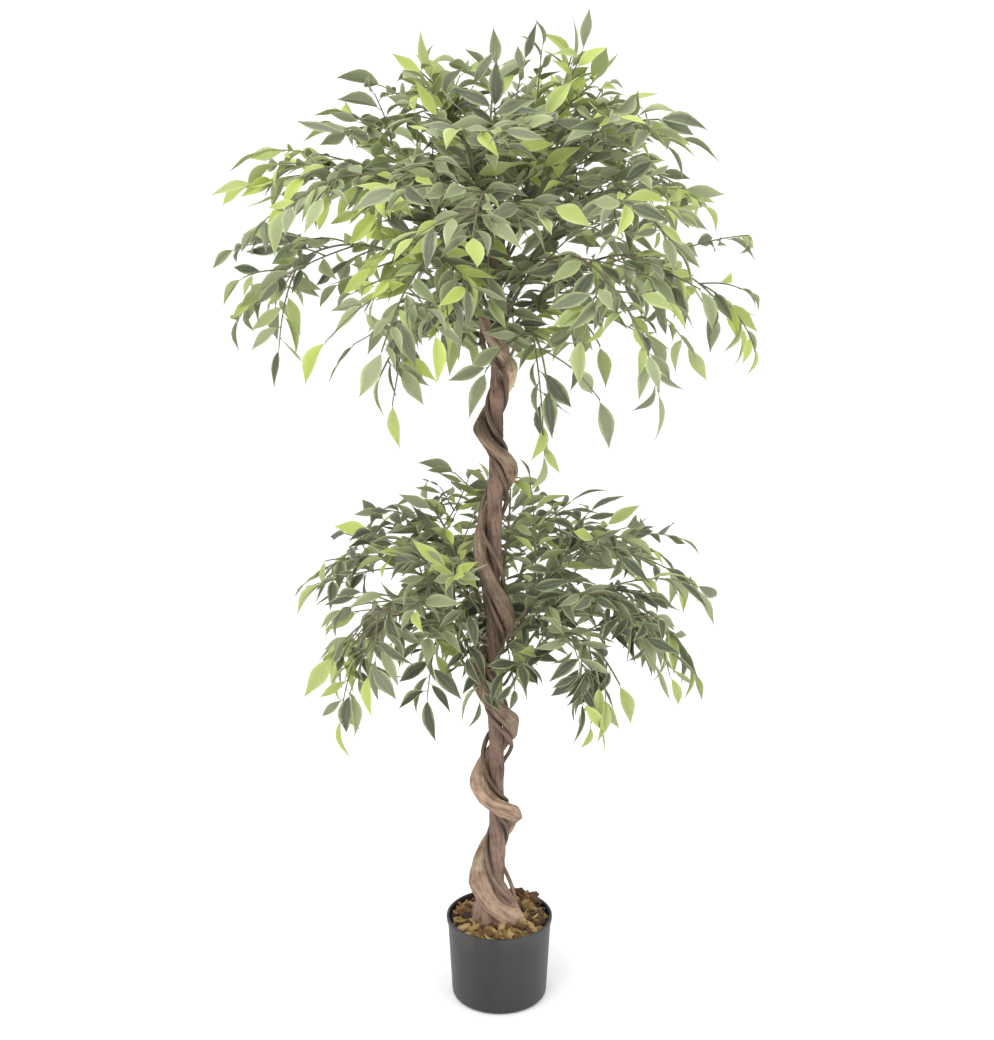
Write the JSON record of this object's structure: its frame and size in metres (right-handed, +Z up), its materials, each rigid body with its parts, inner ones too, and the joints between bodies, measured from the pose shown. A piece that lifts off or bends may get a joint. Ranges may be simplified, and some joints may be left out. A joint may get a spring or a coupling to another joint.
{
  "type": "potted topiary ficus",
  "caption": "Two-tier topiary ficus tree with a trunk of wound stems, arching leafy sprays and a plain dark round pot topped with bark chips.",
  "frame": {"origin": "centre of the pot's underside, on the floor", "axes": "+Z up along the trunk, +X to the right of the side with the bare trunk in view, -Y the front"},
  "size_m": [0.7605, 0.709, 1.4984],
  "materials": {
    "pot": "satin",
    "soil": "matte",
    "bark_chips": "rough",
    "stem_bark": "rough",
    "foliage": "satin"
  },
  "bodies": {
    "root": {"bark_chips": "bark_chips", "crown_high_1": "foliage", "crown_high_2": "foliage", "crown_high_3": "foliage", "crown_high_4": "foliage", "crown_high_5": "foliage", "crown_low_1": "foliage", "crown_low_2": "foliage", "crown_low_3": "foliage", "crown_low_4": "foliage", "crown_mid_1": "foliage", "crown_mid_2": "foliage", "crown_mid_3": "foliage", "crown_mid_4": "foliage", "crown_mid_5": "foliage", "crown_mid_6": "foliage", "crown_top_1": "foliage", "crown_top_2": "foliage", "crown_top_3": "foliage", "crown_top_4": "foliage", "crown_wide_1": "foliage", "crown_wide_2": "foliage", "crown_wide_3": "foliage", "crown_wide_4": "foliage", "crown_wide_5": "foliage", "crown_wide_6": "foliage", "pot": "pot", "soil": "soil", "stem_liana": "stem_bark", "stem_main": "stem_bark", "tier_high_1": "foliage", "tier_high_2": "foliage", "tier_high_3": "foliage", "tier_high_4": "foliage", "tier_low_1": "foliage", "tier_low_2": "foliage", "tier_low_3": "foliage", "tier_low_4": "foliage", "tier_low_5": "foliage", "tier_mid_1": "foliage", "tier_mid_2": "foliage", "tier_mid_3": "foliage", "tier_mid_4": "foliage", "tier_mid_5": "foliage", "vine_back": "stem_bark", "vine_front": "stem_bark"}
  },
  "joints": []
}
